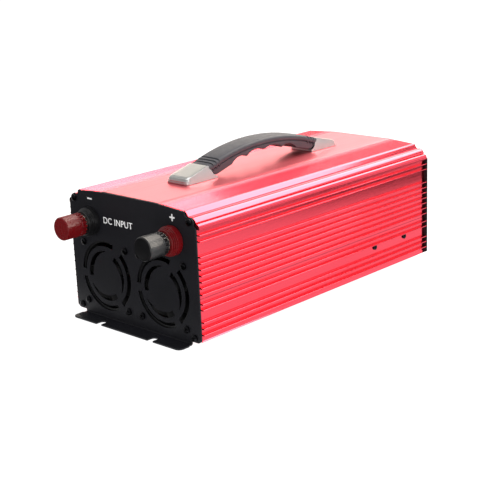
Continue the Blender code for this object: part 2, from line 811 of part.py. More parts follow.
def rocker():
    """The rocker, seen from the side: a shallow V face, tipped so that its lower half is pressed in."""
    profile = [(-0.0040, 0.0080), (-0.0112, 0.0062), (-0.0112, -0.0010), (-0.0040, -0.0038)]
    points = profile + [(-z, y) for z, y in reversed(profile)]
    outline = []
    for z, y in points:
        turned_y = y * math.cos(SWITCH_TILT) + z * math.sin(SWITCH_TILT)
        turned_z = z * math.cos(SWITCH_TILT) - y * math.sin(SWITCH_TILT)
        outline.append((SWITCH_PIVOT[1] + turned_y, SWITCH_Z + turned_z))
    return prism("switch_rocker", BLACK_PLASTIC, outline, SWITCH_X - 0.0080, SWITCH_X + 0.0080, "x", origin=SWITCH_PIVOT)


rocker()

for name, slot in (("power_lamp", GREEN_LENS), ("fault_lamp", RED_LENS)):
    x, z = LAMP_PLACES[name]
    lamp = ((0.0, -0.0060), (0.0025, -0.0060), (0.0025, 0.0006), (0.0018, 0.0018), (0.0, 0.0023))
    lathe(name, slot, lamp, (x, REAR, z), 20, smooth=True)


# Inside: the main board and what stands on it.

BOARD_Z = 0.0140
BOARD_TOP = BOARD_Z + 0.0016
BOARD_START = FRONT + 0.0330
BOARD_END = REAR - 0.0200
ON_BOARD = BOARD_TOP + GAP

block("main_board", BOARD, (-0.0660, BOARD_START, BOARD_Z), (0.0660, BOARD_END, BOARD_TOP))
block("control_board", BOARD, (0.0300, BOARD_START + 0.1500, ON_BOARD), (0.0316, BOARD_END - 0.0200, ON_BOARD + 0.0420))


def transformer(number, y):
    """An upright E-core with one winding round its middle leg."""
    half = (0.0210, 0.0100)
    base = ON_BOARD
    top = base + 0.0420
    core = block(f"transformer_core_{number}", FERRITE, (-half[0], y - half[1], base), (half[0], y + half[1], top))
    windows = bmesh.new()
    for side in (-1, 1):
        low_x, high_x = sorted((side * 0.0068, side * 0.0158))
        add_block(windows, (low_x, y - 0.012, base + 0.0060), (high_x, y + 0.012, top - 0.0060))
    cut(core, finish(windows, f"transformer_windows_{number}", FERRITE))
    inner = (0.0072, 0.0104)
    outer = (0.0154, 0.0172)
    winding = block(
        f"transformer_winding_{number}",
        COPPER,
        (-outer[0], y - outer[1], base + 0.0070),
        (outer[0], y + outer[1], top - 0.0070),
    )
    eye = block(
        f"winding_eye_{number}",
        COPPER,
        (-inner[0], y - inner[1], base),
        (inner[0], y + inner[1], top),
    )
    cut(winding, eye)


transformer(1, FRONT + 0.0950)
transformer(2, FRONT + 0.1500)

for number, y in enumerate((0.0450, 0.0680), start=1):
    can = ((0.0, 0.0), (0.0090, 0.0), (0.0090, 0.0345), (0.0084, 0.0350), (0.0, 0.0350))
    lathe(f"input_capacitor_{number}", CAPACITOR_SLEEVE, can, (-0.0340, FRONT + y + 0.0020, ON_BOARD), 28, "z", smooth=True)
bulk = ((0.0, 0.0), (0.0150, 0.0), (0.0150, 0.0445), (0.0143, 0.0450), (0.0, 0.0450))
lathe("bulk_capacitor", CAPACITOR_SLEEVE, bulk, (-0.0300, FRONT + 0.2300, ON_BOARD), 32, "z", smooth=True)
ring = [(0.0150 + 0.0060 * math.cos(a), 0.0060 * math.sin(a)) for a in (math.pi * n / 4 for n in range(8))]
lathe("output_inductor", COPPER, ring, (-0.0300, FRONT + 0.2800, ON_BOARD + 0.0212), 24, "x", closed=True, smooth=True)


def transistor_bank(name, side):
    """A clamp bar along the side wall, with a row of flat packages under it."""
    wall = SIDE_X - WALL - GAP
    low_x, high_x = sorted((side * (wall - 0.0060), side * wall))
    low_y = FRONT + 0.1700
    high_y = FRONT + 0.3200
    bar = block(name, SATIN_METAL, (low_x, low_y, 0.0262), (high_x, high_y, 0.0362))
    packages = bmesh.new()
    for index in range(7):
        y = low_y + 0.0110 + 0.0212 * index
        add_block(packages, (low_x + 0.0008, y - 0.0078, 0.0200), (high_x - 0.0008, y + 0.0078, 0.0270))
    union(bar, finish(packages, name + "_packages", BLACK_PLASTIC))
    holes = bmesh.new()
    for depth in SIDE_SCREW_DEPTHS:
        profile = ((0.0, side * 0.076), (0.0021, side * 0.076), (0.0021, side * 0.088), (0.0, side * 0.088))
        add_lathe(holes, profile, (0.0, FRONT + depth, SIDE_SCREW_Z), 16, "x")
    cut(bar, finish(holes, name + "_holes", SATIN_METAL))


transistor_bank("transistor_bank_left", -1)
transistor_bank("transistor_bank_right", 1)


def bus_bar(name, x):
    """A copper strip that hangs from the stud's shoulder and turns back over the main board."""
    start = FRONT + 0.0088
    section = [
        (start, 0.1060),
        (start, 0.0860),
        (start + 0.0220, 0.0860),
        (start + 0.0220, ON_BOARD),
        (start + 0.0420, ON_BOARD),
        (start + 0.0420, ON_BOARD + 0.0020),
        (start + 0.0240, ON_BOARD + 0.0020),
        (start + 0.0240, 0.0880),
        (start + 0.0020, 0.0880),
        (start + 0.0020, 0.1060),
    ]
    inner = (abs(x) - 0.0080, abs(x) + 0.0080)
    bar = prism(name, COPPER, section, math.copysign(inner[0], x), math.copysign(inner[1], x), "x")
    hole = ((0.0, 0.0), (STUD_RADIUS + 0.0003, 0.0), (STUD_RADIUS + 0.0003, 0.0200), (0.0, 0.0200))
    cut(bar, lathe(name + "_hole", COPPER, hole, (x, FRONT, TERMINAL_Z), 24))


bus_bar("negative_bus_bar", -TERMINAL_X)
bus_bar("positive_bus_bar", TERMINAL_X)
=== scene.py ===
import math
import random

import bmesh
import bpy
from mathutils import Matrix, Vector

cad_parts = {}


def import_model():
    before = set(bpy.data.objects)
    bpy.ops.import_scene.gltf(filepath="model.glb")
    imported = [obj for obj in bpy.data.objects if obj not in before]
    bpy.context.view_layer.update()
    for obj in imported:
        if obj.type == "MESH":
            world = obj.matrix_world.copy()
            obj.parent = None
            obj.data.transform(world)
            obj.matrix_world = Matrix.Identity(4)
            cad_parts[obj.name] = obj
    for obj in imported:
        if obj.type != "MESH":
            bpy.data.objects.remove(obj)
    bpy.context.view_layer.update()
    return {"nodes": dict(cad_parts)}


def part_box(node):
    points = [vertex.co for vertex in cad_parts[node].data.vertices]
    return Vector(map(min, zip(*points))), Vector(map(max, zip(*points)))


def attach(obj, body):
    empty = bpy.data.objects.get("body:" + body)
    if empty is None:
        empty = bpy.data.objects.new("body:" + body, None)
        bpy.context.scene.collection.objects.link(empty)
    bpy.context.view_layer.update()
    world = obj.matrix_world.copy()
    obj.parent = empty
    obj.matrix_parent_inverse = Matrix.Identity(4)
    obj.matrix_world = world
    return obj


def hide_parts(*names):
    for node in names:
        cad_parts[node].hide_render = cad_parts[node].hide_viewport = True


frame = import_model()

mm = 0.001
nodes = frame["nodes"]
random.seed(7)

sheet = 1.6 * mm
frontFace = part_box("front_plate")[1].y - sheet
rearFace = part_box("rear_plate")[0].y + sheet
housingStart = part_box("upper_housing")[0].y
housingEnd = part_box("upper_housing")[1].y

print("frame loaded")


# Camera, a little rolled, at the height of a table top.

cameraView = {"azimuth": 44.03, "elevation": 16.09, "roll": -2.44, "distance": 1077.3, "lens": 86.66}
cameraTarget = (72.96, -94.82, 82.97)


def makeCamera():
    azimuth = math.radians(cameraView["azimuth"])
    elevation = math.radians(cameraView["elevation"])
    back = Vector((
        math.sin(azimuth) * math.cos(elevation),
        -math.cos(azimuth) * math.cos(elevation),
        math.sin(elevation),
    ))
    data = bpy.data.cameras.new("camera")
    data.lens = cameraView["lens"]
    data.sensor_width = 36.0
    camera = bpy.data.objects.new("camera", data)
    bpy.context.scene.collection.objects.link(camera)
    turn = back.to_track_quat("Z", "Y").to_matrix().to_4x4()
    roll = Matrix.Rotation(math.radians(cameraView["roll"]), 4, "Z")
    place = Vector(cameraTarget) * mm + back * cameraView["distance"] * mm
    camera.matrix_world = Matrix.Translation(place) @ turn @ roll
    bpy.context.scene.camera = camera


makeCamera()


# Materials.


def linearColour(code):
    parts = [int(code[index:index + 2], 16) / 255 for index in (0, 2, 4)]
    return (*[part / 12.92 if part <= 0.04045 else ((part + 0.055) / 1.055) ** 2.4 for part in parts], 1.0)


def addNode(tree, kind, settings, links=None):  # a key is one of the node's own settings, or else an input
    node = tree.nodes.new(kind)
    for key, value in settings.items():
        if isinstance(key, str) and hasattr(node, key):
            setattr(node, key, value)
        else:
            node.inputs[key].default_value = value
    for key, source in (links or {}).items():
        tree.links.new(source, node.inputs[key])
    return node


def startMaterial(name, shader):  # a material, its tree, its shader and the object coordinates
    made = bpy.data.materials.new(name)
    made.use_nodes = True
    principled = made.node_tree.nodes["Principled BSDF"]
    for key, value in shader.items():
        principled.inputs[key].default_value = value
    coords = addNode(made.node_tree, "ShaderNodeTexCoord", {})
    return made, made.node_tree, principled, coords.outputs["Object"]


def noiseOf(tree, where, size, stretch=(1.0, 1.0, 1.0), detail=2.0):  # size is that of one blotch, in mm
    spread = addNode(tree, "ShaderNodeMapping", {"Scale": stretch}, {"Vector": where})
    settings = {"Scale": 1.0 / (size * mm), "Detail": detail}
    return addNode(tree, "ShaderNodeTexNoise", settings, {"Vector": spread.outputs[0]}).outputs["Fac"]


def tint(tree, shader, factor, first, second):
    mixed = addNode(tree, "ShaderNodeMix", {"data_type": "RGBA"}, {0: factor})
    mixed.inputs[6].default_value = linearColour(first)
    mixed.inputs[7].default_value = linearColour(second)
    tree.links.new(mixed.outputs[2], shader.inputs["Base Color"])
    return mixed.outputs[2]


def gloss(tree, shader, factor, low, high):
    span = {"From Min": 0.3, "From Max": 0.7, "To Min": low, "To Max": high}
    ranged = addNode(tree, "ShaderNodeMapRange", span, {"Value": factor})
    tree.links.new(ranged.outputs[0], shader.inputs["Roughness"])


def relief(tree, shader, height, depth, strength=1.0):  # depth in mm
    settings = {"Strength": strength, "Distance": depth * mm}
    bump = addNode(tree, "ShaderNodeBump", settings, {"Height": height})
    tree.links.new(bump.outputs[0], shader.inputs["Normal"])


def anodisedAluminium():
    # Extruded aluminium, etched, dyed red and sealed: a clear mirror along the length that the die lines
    # smear across it, deeper in colour where the dye took more. The flat top is rougher, and its colour is
    # painted paler there: a painted highlight.
    look = {
        "light": "f75363", "deep": "f1495a", "dieLines": 0.5, "blotch": 40.0,
        "flatTopFrom": 127.4, "pale": "fb7884", "dulled": 0.27,
    }
    made, tree, shader, where = startMaterial("anodised_aluminium_red", {"Metallic": 1.0, "Roughness": 0.2})
    lines = noiseOf(tree, where, look["dieLines"], (1.0, 0.01, 1.0), 3.0)
    blotch = noiseOf(tree, where, look["blotch"], (1.0, 0.3, 1.0))
    dyed = tint(tree, shader, blotch, look["light"], look["deep"])
    split = addNode(tree, "ShaderNodeSeparateXYZ", {}, {0: where})
    span = {"From Min": look["flatTopFrom"] * mm, "From Max": (look["flatTopFrom"] + 0.5) * mm}
    top = addNode(tree, "ShaderNodeMapRange", span, {"Value": split.outputs["Z"]})  # 1 on the flat top
    # painted highlight: the colour on the flat top is mixed towards a paler pink
    paler = addNode(tree, "ShaderNodeMix", {"data_type": "RGBA"}, {0: top.outputs[0], 6: dyed})
    paler.inputs[7].default_value = linearColour(look["pale"])
    tree.links.new(paler.outputs[2], shader.inputs["Base Color"])
    span = {"From Min": 0.3, "From Max": 0.7, "To Min": 0.1, "To Max": 0.17}
    smear = addNode(tree, "ShaderNodeMapRange", span, {"Value": lines})
    settings = {"operation": "MULTIPLY_ADD", 1: look["dulled"]}
    rough = addNode(tree, "ShaderNodeMath", settings, {0: top.outputs[0], 2: smear.outputs[0]})
    tree.links.new(rough.outputs[0], shader.inputs["Roughness"])
    relief(tree, shader, lines, 0.02, 0.25)
    return made


def powderCoat():
    # Polyester powder coat baked on sheet steel: black, half dull, with a fine orange peel.
    # The grain is drawn at 0.9 mm, coarser than the real one.
    look = {"base": "17171c", "worn": "202026", "grain": 0.9, "cloud": 35.0}
    settings = {"Roughness": 0.5, "Specular IOR Level": 0.25}
    made, tree, shader, where = startMaterial("powder_coat_black", settings)
    grain = noiseOf(tree, where, look["grain"])
    tint(tree, shader, noiseOf(tree, where, look["cloud"]), look["base"], look["worn"])
    gloss(tree, shader, grain, 0.42, 0.56)
    relief(tree, shader, grain, 0.06, 0.5)
    return made


def mouldedPlastic(name, light, deep, grain, low, high, ior=1.53):
    # Injection-moulded plastic: even colour, a soft shine and a slight flow in the surface.
    made, tree, shader, where = startMaterial(name, {"Roughness": low, "IOR": ior})
    flow = noiseOf(tree, where, 6.0)
    skin = noiseOf(tree, where, grain)
    tint(tree, shader, flow, light, deep)
    gloss(tree, shader, flow, low, high)
    relief(tree, shader, skin, 0.006, 0.2)
    return made


def brushedPlate(name, light, deep, along, low, high):
    # Plated metal with fine lines left by polishing; along is the direction of the lines.
    made, tree, shader, where = startMaterial(name, {"Metallic": 1.0, "Roughness": low})
    stretch = [1.0, 1.0, 1.0]
    stretch["xyz".index(along)] = 0.03
    lines = noiseOf(tree, where, 0.35, stretch, 3.0)
    tint(tree, shader, noiseOf(tree, where, 8.0), light, deep)
    gloss(tree, shader, lines, low, high)
    relief(tree, shader, lines, 0.01, 0.2)
    return made


def woundCopper():
    # Enamelled copper wire: rows of round turns, 1.2 mm apart, with painted shade: darker in the grooves
    # between turns.
    made, tree, shader, where = startMaterial("enamelled_copper_wire", {"Metallic": 1.0, "Roughness": 0.3})
    pitch = 1.2 * mm
    settings = {"bands_direction": "Z", "Scale": 2 * math.pi / 20 / pitch, "Distortion": 0.3}
    turns = addNode(tree, "ShaderNodeTexWave", settings, {"Vector": where})
    # painted shade: the colour is darker where the bump is low, between the turns
    tint(tree, shader, turns.outputs["Fac"], "8a4420", "d07a3c")
    relief(tree, shader, turns.outputs["Fac"], 0.4, 0.8)
    return made


def solderMask():
    # Glass-fibre board under green solder mask: the copper tracks show as slightly lighter green.
    made, tree, shader, where = startMaterial("solder_mask_green", {"Roughness": 0.35, "IOR": 1.5})
    track = 7.0 * mm
    settings = {"distance": "MANHATTAN", "feature": "F1", "Scale": 1.0 / track}
    tracks = addNode(tree, "ShaderNodeTexVoronoi", settings, {"Vector": where})
    tint(tree, shader, tracks.outputs["Distance"], "0c3d20", "1c6a38")
    relief(tree, shader, tracks.outputs["Distance"], 0.1, 0.4)
    return made


def firedFerrite():
    # Pressed and fired ferrite: dull dark grey with a fine powdery grain.
    made, tree, shader, where = startMaterial("fired_ferrite", {"Roughness": 0.6})
    grain = noiseOf(tree, where, 0.8, detail=4.0)
    tint(tree, shader, grain, "2c2c2f", "43434a")
    relief(tree, shader, grain, 0.05, 0.5)
    return made


def tintedLens(name, light, deep):
    # A clear dyed acrylic lens over an unlit lamp.
    made, tree, shader, where = startMaterial(name, {"Roughness": 0.08, "IOR": 1.49, "Coat Weight": 0.5})
    tint(tree, shader, noiseOf(tree, where, 1.5), light, deep)
    return made


def screenInk():
    # White screen-printing ink, thick enough to hide the black under it.
    made, tree, shader, where = startMaterial("screen_ink_white", {"Roughness": 0.5})
    tint(tree, shader, noiseOf(tree, where, 0.5), "fbfbfb", "ffffff")
    return made


red = anodisedAluminium()
coat = powderCoat()
glossBlack = mouldedPlastic("moulded_plastic_black", "0e0e10", "131315", 0.8, 0.28, 0.34, 1.7)
dullBlack = mouldedPlastic("fan_plastic_black", "141415", "1c1c1e", 0.6, 0.45, 0.6)
glossRed = mouldedPlastic("moulded_plastic_red", "76080f", "6b070d", 0.8, 0.26, 0.3)
gripPlastic = mouldedPlastic("soft_grip_plastic", "4a4a51", "424248", 0.45, 0.46, 0.54, 1.42)
satinZinc = brushedPlate("satin_zinc_plate", "cdcdcb", "c2c2c0", "x", 0.26, 0.36)
nickel = brushedPlate("nickel_plate_bright", "d2ccc0", "c4beb2", "y", 0.14, 0.24)
blackZinc = brushedPlate("black_zinc_plate", "2b2b2e", "202023", "x", 0.25, 0.38)
copperWire = woundCopper()
copperBar = brushedPlate("rolled_copper", "c9783e", "b5652f", "z", 0.25, 0.35)
solderGreen = solderMask()
ferrite = firedFerrite()
sleeve = mouldedPlastic("shrink_sleeve_blue", "16204a", "101838", 3.0, 0.3, 0.42)
greenLens = tintedLens("acrylic_lens_green", "2c9c44", "1d7a32")
redLens = tintedLens("acrylic_lens_red", "b8282a", "8f1a1e")
ink = screenInk()

print("materials made")


# Shared steps of the modelling.


def newPiece(shape, name, material, body, stands, sharp=28):
    bmesh.ops.remove_doubles(shape, verts=shape.verts, dist=0.002 * mm)
    bmesh.ops.recalc_face_normals(shape, faces=shape.faces)
    mesh = bpy.data.meshes.new(name)
    shape.to_mesh(mesh)
    shape.free()
    mesh.materials.append(material)
    mesh.shade_smooth()
    mesh.set_sharp_from_angle(angle=math.radians(sharp))
    piece = bpy.data.objects.new(name, mesh)
    bpy.context.scene.collection.objects.link(piece)
    # weighted normals keep flats flat between round edges
    weighted = piece.modifiers.new("weighted normals", "WEIGHTED_NORMAL")
    weighted.keep_sharp = True
    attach(piece, body)
    if stands:
        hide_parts(*stands)
    return piece


def soften(shape, width, segments=2, above=40, clamp=True):  # width in mm, above in degrees
    limit = math.radians(above)
    edges = [edge for edge in shape.edges if len(edge.link_faces) == 2 and edge.calc_face_angle() > limit]
    bmesh.ops.bevel(shape, geom=edges, affect="EDGES", offset=width * mm, segments=segments, profile=0.5,
                    material=-1, clamp_overlap=clamp)


def addOutline(shape, corners, place):  # corners are (u, v) or (u, v, rounding) in mm; returns the face
    verts = [shape.verts.new(place(corner[0] * mm, corner[1] * mm)) for corner in corners]
    shape.faces.new(verts)
    rounded = {}
    for corner, vert in zip(corners, verts):
        if len(corner) > 2:
            rounded.setdefault(corner[2], []).append(vert)
    for radius, group in rounded.items():
        bmesh.ops.bevel(shape, geom=group, affect="VERTICES", offset=radius * mm, profile=0.5, material=-1,
                        segments=2 + round(radius * 2), clamp_overlap=False)


def cutAcross(shape, place, normal):  # adds an edge all round where a plane crosses the shape
    whole = shape.verts[:] + shape.edges[:] + shape.faces[:]
    bmesh.ops.bisect_plane(shape, geom=whole, dist=0.001 * mm, plane_co=place, plane_no=normal)


def pushOut(shape, faces, vector):
    pushed = bmesh.ops.extrude_face_region(shape, geom=faces)
    verts = [item for item in pushed["geom"] if isinstance(item, bmesh.types.BMVert)]
    bmesh.ops.translate(shape, verts=verts, vec=vector)


def turned(shape, profile, centre, axis, steps):  # profile is (radius, distance along the axis) in mm
    across = axis.orthogonal().normalized()
    places = [centre + across * radius * mm + axis * along * mm for radius, along in profile]
    verts = [shape.verts.new(place) for place in places]
    edges = [shape.edges.new(pair) for pair in zip(verts, verts[1:])]
    bmesh.ops.spin(shape, geom=verts + edges, cent=centre, axis=axis, dvec=(0.0, 0.0, 0.0),
                   angle=2 * math.pi, steps=steps, use_merge=True)
    bmesh.ops.remove_doubles(shape, verts=shape.verts, dist=0.002 * mm)


def middle(node):
    low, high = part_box(node)
    return (low + high) / 2


# Housing.

housing = {
    "sideX": 86.9, "finX": 90.4, "rootHalf": 0.75, "tipHalf": 0.5, "tipRound": 0.38, "rootRound": 0.25,
    "upperFins": (50.6, 56.6, 62.4, 68.2, 74.0, 79.8, 85.6, 100.0, 105.7),
    "lowerFins": (12.3, 18.3, 24.3, 36.1, 41.7),
    "joint": 46.2, "jointGap": 0.15, "wall": 2.2, "bottom": 5.0,
    "top": 128.3, "plateauX": 37.3, "shoulderFall": 0.07,
    "ribs": 17, "ribStart": 5.4, "ribPitch": 1.75, "ribHalf": 0.55, "ribHeight": 0.6,
}


def finCorners(height):
    root, tip = housing["rootHalf"], housing["tipHalf"]
    return [
        (housing["sideX"], height - root, housing["rootRound"]),
        (housing["finX"], height - tip, housing["tipRound"]),
        (housing["finX"], height + tip, housing["tipRound"]),
        (housing["sideX"], height + root, housing["rootRound"]),
    ]


def shoulderCorners():  # fine ribs on the slope, then the edge of the flat middle
    corners = []
    for index in reversed(range(housing["ribs"])):
        x = housing["plateauX"] + housing["ribStart"] + housing["ribPitch"] * index
        z = housing["top"] - 0.4 - (x - housing["plateauX"]) * housing["shoulderFall"]
        half, height = housing["ribHalf"], housing["ribHeight"]
        crest = half * 0.4
        corners += [(x + half, z), (x + crest, z + height), (x - crest, z + height), (x - half, z)]
    corners += [(housing["plateauX"] + 2.6, housing["top"] - 0.5, 0.6)]
    return corners + [(housing["plateauX"], housing["top"], 0.8)]


def upperCorners():
    side = housing["sideX"]
    inner = side - housing["wall"]
    joint = housing["joint"] + housing["jointGap"]
    corners = [(inner, joint), (side, joint)]
    for height in housing["upperFins"]:
        corners += finCorners(height)
    corners += [(side, 110.8, 0.2), (90.3, 110.8, 0.35), (90.3, 113.5, 1.0), (89.0, 115.7, 0.9)]
    corners += [(87.2, 116.2, 0.2), (86.1, 116.4), (86.1, 116.8), (86.9, 117.1, 0.2)]
    corners += [(85.5, 119.3, 1.6), (82.2, 121.5, 1.8), (78.6, 121.3)]
    corners += [(78.4, 120.5), (77.8, 120.5), (77.5, 121.4, 0.8)]
    corners += [(74.3, 125.4, 1.0), (73.2, 126.1, 0.6), (72.4, 126.1, 0.3), (72.0, 125.3)]
    corners += shoulderCorners()
    inside = [(36.0, 126.1), (70.0, 123.0), (73.5, 119.5), (74.5, 113.0), (79.0, 111.0), (inner, 109.5)]
    left = [(-corner[0], *corner[1:]) for corner in reversed(corners)]
    leftInside = [(-corner[0], *corner[1:]) for corner in reversed(inside)]
    return corners + left + leftInside + inside


def lowerCorners():
    side = housing["sideX"]
    inner = side - housing["wall"]
    tongue = inner - 0.3
    joint = housing["joint"] - housing["jointGap"]
    corners = [(86.4, housing["bottom"], 0.3), (87.8, 5.6, 0.3), (side, 6.7, 0.2)]
    for height in housing["lowerFins"]:
        corners += finCorners(height)
    corners += [(side, joint), (tongue, joint), (tongue, joint + 6.0), (tongue - 1.8, joint + 6.0)]
    corners += [(tongue - 1.8, joint - 4.0), (inner, joint - 7.0), (inner, 14.0), (80.0, 12.8), (75.2, 11.0)]
    corners += [(74.0, housing["bottom"] + housing["wall"])]
    return corners + [(-corner[0], *corner[1:]) for corner in reversed(corners)]


def extrudedHousing(name, corners, node):
    shape = bmesh.new()
    addOutline(shape, corners, lambda u, v: (u, housingStart, v))
    pushOut(shape, list(shape.faces), (0.0, housingEnd - housingStart, 0.0))
    newPiece(shape, name, red, "inverter", [node])


extrudedHousing("housing_upper_half", upperCorners(), "upper_housing")
extrudedHousing("housing_lower_half", lowerCorners(), "lower_housing")
print("housing made")


# End plates: cut flat, rounded along every edge, then folded at the foot.

plate = {
    "edgeFront": 87.5, "edgeRear": 90.2, "flangeHalf": 76.0, "foldHalf": 74.8, "flangeReach": 16.4,
    "slotX": 36.5, "slotHalf": 3.6, "slotDepth": 8.6, "flangeCorner": 5.5,
    "bendTop": 2.2, "bendRadius": 0.6, "bendCuts": 7, "edgeRound": 0.22, "slotDraft": 0.9,
    "plateauX": housing["plateauX"], "terminalX": 57.0, "terminalZ": 97.0, "terminalHole": 8.5,
}
fan = {
    "x": 39.6, "z": 44.6, "holes": 60.0, "screwHole": 2.1,
    "outerSlots": {"inner": 29.8, "outer": 34.9, "arcs": ((69, 176), (190, 296), (310, 408)), "taper": 0},
    "innerSlots": {"inner": 19.6, "outer": 24.9, "arcs": ((188, 89), (59, -32), (306, 208)), "taper": 1},
}
rear = {
    "outletHalf": 18.8, "switchHalf": (10.8, 14.8), "lampHole": 2.9,
    "vents": 7, "ventLow": 20.0, "ventPitch": 6.2, "ventHigh": 3.0, "ventHalf": 26.0, "ventX": 40.0,
}
cornerScrews = [(side * x, z) for side in (-1, 1) for x, z in ((79.9, 117.2), (79.5, 8.2))]
fanScrews = [(side * fan["x"] + a * fan["holes"] / 2, fan["z"] + b * fan["holes"] / 2)
             for side in (-1, 1) for a in (-1, 1) for b in (-1, 1)]


def arcPoints(centre, radius, start, end, count):
    angles = [math.radians(start + (end - start) * step / (count - 1)) for step in range(count)]
    return [(centre[0] + radius * math.cos(angle), centre[1] + radius * math.sin(angle)) for angle in angles]


def plateCorners(edge):
    reach, half = plate["flangeReach"], plate["slotHalf"]
    depth = reach - plate["slotDepth"]
    corners = [(plate["slotX"] - half, -reach, 0.5), (plate["slotX"] - half, -depth, half - 0.05)]
    corners += [(plate["slotX"] + half, -depth, half - 0.05), (plate["slotX"] + half, -reach, 0.5)]
    corners += [(plate["flangeHalf"], -reach, plate["flangeCorner"]), (plate["flangeHalf"], -3.6, 0.4)]
    corners += [(plate["foldHalf"], -2.8, 0.4), (plate["foldHalf"], 3.9, 0.4)]
    corners += [(83.8, 3.9, 0.8), (edge, 6.6, 0.8), (edge, 111.8, 0.5)]
    corners += arcPoints((79.9, 116.1), 5.2, -24, 118, 16)
    corners += [(75.2, 121.6, 0.5), (74.2, 123.4, 0.4), (73.8, 125.4, 0.4), (plate["plateauX"], 128.0, 1.0)]
    return corners + [(-corner[0], *corner[1:]) for corner in reversed(corners)]


def addLoop(shape, points, face):
    verts = [shape.verts.new((u * mm, face, v * mm)) for u, v in points]
    for index, vert in enumerate(verts):
        shape.edges.new((vert, verts[(index + 1) % len(verts)]))


def slotLoop(centre, inner, outer, start, end, taper):  # taper narrows the slot towards its end angle
    count = 36
    outside = arcPoints(centre, outer, start, end, count)
    inside = []
    for index in range(count):
        part = index / (count - 1)
        radius = inner + taper * (outer - inner - 0.6) * max(0.0, (part - 0.3) / 0.7) ** 1.5
        inside += arcPoints(centre, radius, start + (end - start) * part, 0, 2)[:1]
    return outside + inside[::-1]


def frontOpenings():
    loops = [arcPoints(place, fan["screwHole"], 0, 345, 24) for place in cornerScrews + fanScrews]
    for side in (-1, 1):
        place = (side * plate["terminalX"], plate["terminalZ"])
        loops.append(arcPoints(place, plate["terminalHole"], 0, 350, 36))
    for side in (-1, 1):
        centre = (side * fan["x"], fan["z"])
        for slots in (fan["outerSlots"], fan["innerSlots"]):
            for start, end in slots["arcs"]:
                loops.append(slotLoop(centre, slots["inner"], slots["outer"], start, end, slots["taper"]))
    return loops


def boxLoop(x, z, halfX, halfZ):
    return [(x - halfX, z - halfZ), (x + halfX, z - halfZ), (x + halfX, z + halfZ), (x - halfX, z + halfZ)]


def rearOpenings():
    loops = [arcPoints(place, fan["screwHole"], 0, 345, 24) for place in cornerScrews]
    for node in ("outlet_left", "outlet_right"):
        place = middle(node) / mm
        loops.append(boxLoop(place.x, place.z, rear["outletHalf"], rear["outletHalf"]))
    place = middle("switch_frame") / mm
    loops.append(boxLoop(place.x, place.z, *rear["switchHalf"]))
    for node in ("power_lamp", "fault_lamp"):
        place = middle(node) / mm
        loops.append(arcPoints((place.x, place.z), rear["lampHole"], 0, 345, 24))
    for side in (-1, 1):
        for row in range(rear["vents"]):
            low = rear["ventLow"] + rear["ventPitch"] * row
            half = rear["ventHigh"] / 2
            reach = rear["ventHalf"] - half
            right = arcPoints((side * rear["ventX"] + reach, low + half), half, -90, 90, 9)
            left = arcPoints((side * rear["ventX"] - reach, low + half), half, 90, 270, 9)
            loops.append(right + left)
    return loops


def fold(shape, face, outward):  # bends what hangs below the bend outwards, round a small radius
    neutral = plate["bendRadius"] * mm + sheet / 2
    centre = Vector((0.0, face + outward * plate["bendRadius"] * mm, plate["bendTop"] * mm))
    for vert in shape.verts:
        below = plate["bendTop"] * mm - vert.co.z
        if below > 0.0:
            radius = plate["bendRadius"] * mm + (face - vert.co.y) * outward
            angle = min(below / neutral, math.pi / 2)
            beyond = below - angle * neutral
            vert.co.y = centre.y + outward * (beyond - radius * math.cos(angle))
            vert.co.z = centre.z - radius * math.sin(angle)


def draftSlots(shape, back):  # the punched grille slots open out towards the fan
    for vert in shape.verts:
        if abs(vert.co.y - back) > 0.01 * mm:
            continue
        for side in (-1, 1):
            out = Vector((vert.co.x - side * fan["x"] * mm, 0.0, vert.co.z - fan["z"] * mm))
            reach = out.length / mm
            for slots in (fan["outerSlots"], fan["innerSlots"]):
                outerEdge = slots["outer"] - 0.05
                if slots["inner"] - 0.8 < reach < outerEdge:
                    vert.co -= out.normalized() * plate["slotDraft"] * mm
                elif outerEdge <= reach < outerEdge + 0.65:
                    vert.co += out.normalized() * plate["slotDraft"] * mm


def foldedPlate(name, node, face, outward, edge, openings):
    shape = bmesh.new()
    addOutline(shape, plateCorners(edge), lambda u, v: (u, face, v))
    bmesh.ops.delete(shape, geom=list(shape.faces), context="FACES_ONLY")
    for loop in openings:
        addLoop(shape, loop, face)
    bmesh.ops.triangle_fill(shape, use_beauty=True, use_dissolve=False, edges=list(shape.edges),
                            normal=(0, outward, 0))
    for step in range(plate["bendCuts"] + 1):
        height = plate["bendTop"] * (1 - step / plate["bendCuts"])
        cutAcross(shape, (0.0, 0.0, height * mm), (0.0, 0.0, 1.0))
    pushOut(shape, list(shape.faces), (0.0, -outward * sheet, 0.0))
    bmesh.ops.recalc_face_normals(shape, faces=shape.faces)
    if node == "front_plate":
        draftSlots(shape, face - outward * sheet)
    soften(shape, plate["edgeRound"], 1, 60, False)
    fold(shape, face, outward)
    newPiece(shape, name, coat, "inverter", [node], 24)


foldedPlate("front_end_plate", "front_plate", frontFace, -1, plate["edgeFront"], frontOpenings())
foldedPlate("rear_end_plate", "rear_plate", rearFace, 1, plate["edgeRear"], rearOpenings())
print("end plates made")


# Screws: pan heads with a cross recess, each turned at random.

screw = {"armHalf": 0.42, "armReach": 1.75, "recess": 1.2, "recessTaper": 0.55, "sideRise": 1.4}


